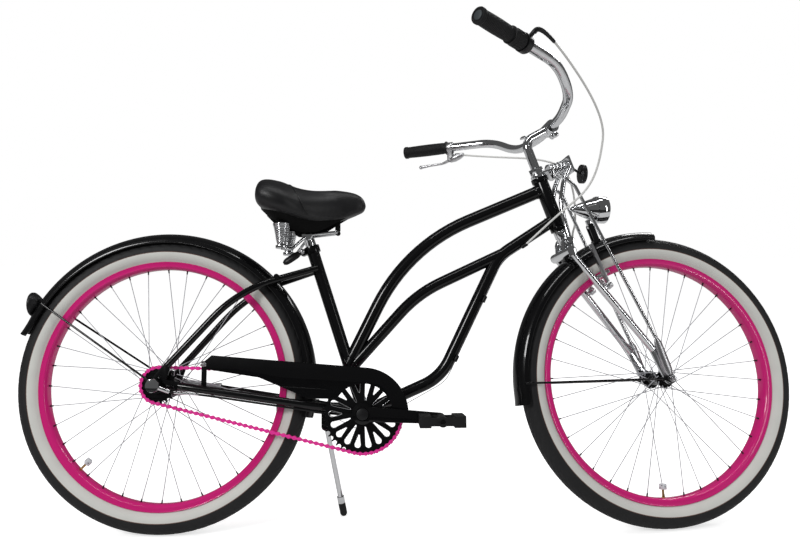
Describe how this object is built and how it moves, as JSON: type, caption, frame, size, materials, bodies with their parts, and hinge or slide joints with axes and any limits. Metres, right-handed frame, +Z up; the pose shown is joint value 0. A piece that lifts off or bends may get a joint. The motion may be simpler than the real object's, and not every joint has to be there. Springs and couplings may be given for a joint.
{
  "type": "beach cruiser bicycle",
  "caption": "Beach cruiser bicycle with curved frame tubes, a springer fork, swept-back bar, wide sprung saddle, fenders, a chain guard and a kickstand.",
  "frame": {"origin": "bottom centre of the bounding box, on the ground", "axes": "+X forward along the wheelbase, +Y to the rider's left, +Z up"},
  "size_m": [1.8242, 0.7612, 1.1007],
  "materials": {
    "black_paint": "gloss black enamel",
    "chrome": "bright chrome plate",
    "steel": "bright plated steel",
    "spoke_wire": "drawn wire",
    "silver": "satin alloy",
    "pink_metal": "glossy magenta paint",
    "tyre": "black tread with an off-white side wall",
    "black_rubber": "matt moulded rubber",
    "black_plastic": "matt moulding",
    "saddle_cover": "smooth black cover",
    "white_cable": "white sleeve",
    "clear_lens": "clear lens",
    "red_lens": "red lens",
    "reflector": "clear prismatic disc"
  },
  "bodies": {
    "frame": {"head_tube": "black_paint", "top_tube": "black_paint", "middle_tube": "black_paint", "down_tube": "black_paint", "seat_tube": "black_paint", "bottom_bracket": "black_paint", "chain_stays": "black_paint", "seat_stays": "black_paint", "chain_guard": "black_paint", "rear_fender": "black_paint", "rear_fender_stays": "black_paint", "tail_light_body": "black_paint", "tail_light_lens": "red_lens", "seat_clamp": "black_paint", "rear_axle": "steel", "coaster_arm": "steel", "chain": "pink_metal", "shift_cable": "white_cable"},
    "rear_wheel": {"rear_tyre": "tyre", "rear_rim": "pink_metal", "rear_spokes": "spoke_wire", "rear_hub": "silver"},
    "sprocket": {"rear_sprocket": "black_paint"},
    "crank": {"chainring": "black_paint", "crank_arms": "black_paint"},
    "right_pedal_body": {"right_pedal": "black_rubber"},
    "left_pedal_body": {"left_pedal": "black_rubber"},
    "kickstand": {"kickstand_leg": "chrome", "kickstand_foot": "black_rubber"},
    "seat": {"seat_post": "steel", "saddle_springs": "chrome"},
    "saddle": {"saddle_base": "black_plastic", "saddle_cushion": "saddle_cover"},
    "quick_release": {"seat_lever": "black_paint"},
    "steering": {"steerer": "chrome", "headset_nut": "chrome", "fork_spring": "chrome", "front_reflector": "reflector", "stem": "chrome", "handlebar": "chrome", "grips": "black_rubber", "shifter_body": "black_plastic", "lever_bracket": "silver", "brake_cable": "white_cable"},
    "shifter": {"shifter_grip": "black_rubber"},
    "lever": {"brake_lever": "silver"},
    "fork": {"fork_blades": "chrome", "spring_yoke": "chrome", "truss_rods": "chrome", "front_axle": "steel", "front_fender": "black_paint", "front_fender_stays": "black_paint"},
    "lamp": {"headlamp_shell": "chrome", "headlamp_lens": "clear_lens"},
    "right_brake": {"right_brake_arm": "silver"},
    "left_brake": {"left_brake_arm": "silver"},
    "front_wheel": {"front_tyre": "tyre", "front_rim": "pink_metal", "front_spokes": "spoke_wire", "front_hub": "black_paint"}
  },
  "joints": [
    {"name": "steering_turn", "type": "hinge", "parent": "frame", "child": "steering", "pos_m": [0.33427, -0.01174, 0.7476], "axis": [-0.328, 0.1559, 0.9317], "range_deg": [-55, 35], "deforming": ["shift_cable"]},
    {"name": "fork_rock", "type": "hinge", "parent": "steering", "child": "fork", "pos_m": [0.36838, -0.02795, 0.6507], "axis": [0.1673, -0.9611, 0.2197], "range_deg": [0, 3.5], "stiffness_Nm_per_rad": 900, "springref_deg": -5.73, "deforming": ["fork_spring", "brake_cable"]},
    {"name": "front_wheel_spin", "type": "hinge", "parent": "fork", "child": "front_wheel", "pos_m": [0.57947, -0.06466, 0.32942], "axis": [-0.1673, 0.9611, -0.2197], "continuous": true},
    {"name": "rear_wheel_spin", "type": "hinge", "parent": "frame", "child": "rear_wheel", "pos_m": [-0.57511, -0.08117, 0.33275], "axis": [0, 0.9863, -0.165], "continuous": true},
    {"name": "crank_spin", "type": "hinge", "parent": "frame", "child": "crank", "pos_m": [-0.11271, -0.09239, 0.26566], "axis": [0, 0.9863, -0.165], "continuous": true, "deforming": ["chain"]},
    {"name": "sprocket_spin", "type": "hinge", "parent": "frame", "child": "sprocket", "pos_m": [-0.57511, -0.12555, 0.34018], "axis": [0, 0.9863, -0.165], "continuous": true, "deforming": ["chain"]},
    {"name": "right_pedal_spin", "type": "hinge", "parent": "crank", "child": "right_pedal_body", "pos_m": [0.05905, -0.23689, 0.2807], "axis": [0, 0.9863, -0.165], "continuous": true},
    {"name": "left_pedal_spin", "type": "hinge", "parent": "crank", "child": "left_pedal_body", "pos_m": [-0.28448, 0.05211, 0.25061], "axis": [0, 0.9863, -0.165], "continuous": true},
    {"name": "kickstand_fold", "type": "hinge", "parent": "frame", "child": "kickstand", "pos_m": [-0.20311, -0.06052, 0.22586], "axis": [0, 0.9863, -0.165], "range_deg": [0, 92]},
    {"name": "seat_height", "type": "slide", "parent": "frame", "child": "seat", "axis": [-0.3023, 0.1573, 0.9401], "range_m": [-0.01, 0.05]},
    {"name": "saddle_bounce", "type": "hinge", "parent": "seat", "child": "saddle", "pos_m": [-0.17312, -0.02273, 0.68191], "axis": [0, -0.9863, 0.165], "range_deg": [0, 4], "stiffness_Nm_per_rad": 1000, "springref_deg": -1.15, "deforming": ["saddle_springs"]},
    {"name": "seat_lever_open", "type": "hinge", "parent": "frame", "child": "quick_release", "pos_m": [-0.2549, -0.05168, 0.63859], "axis": [-0.5446, 0.1384, 0.8272], "range_deg": [0, 150]},
    {"name": "shifter_twist", "type": "hinge", "parent": "steering", "child": "shifter", "pos_m": [0.20996, -0.29113, 1.06239], "axis": [-0.7235, -0.6627, 0.1933], "range_deg": [-35, 35]},
    {"name": "brake_lever_pull", "type": "hinge", "parent": "steering", "child": "lever", "pos_m": [0.12346, 0.30893, 0.8902], "axis": [0.4115, 0.9114, -0.0074], "range_deg": [0, 15], "stiffness_Nm_per_rad": 0.6, "springref_deg": -17.19},
    {"name": "right_brake_close", "type": "hinge", "parent": "fork", "child": "right_brake", "pos_m": [0.4584, -0.08223, 0.55445], "axis": [-0.7691, -0.2667, -0.5808], "range_deg": [0, 3]},
    {"name": "left_brake_close", "type": "hinge", "parent": "fork", "child": "left_brake", "pos_m": [0.44298, 0.00634, 0.53421], "axis": [0.7691, 0.2667, 0.5808], "range_deg": [0, 3], "deforming": ["brake_cable"]},
    {"name": "lamp_tilt", "type": "hinge", "parent": "fork", "child": "lamp", "pos_m": [0.43467, -0.00721, 0.69096], "axis": [-0.1673, 0.9611, -0.2197], "range_deg": [-12, 12]}
  ],
  "couplings": [
    {"joint": "sprocket_spin", "follows": "crank_spin", "ratio": 2.2},
    {"joint": "right_brake_close", "follows": "brake_lever_pull", "ratio": 0.2},
    {"joint": "left_brake_close", "follows": "brake_lever_pull", "ratio": 0.2}
  ]
}
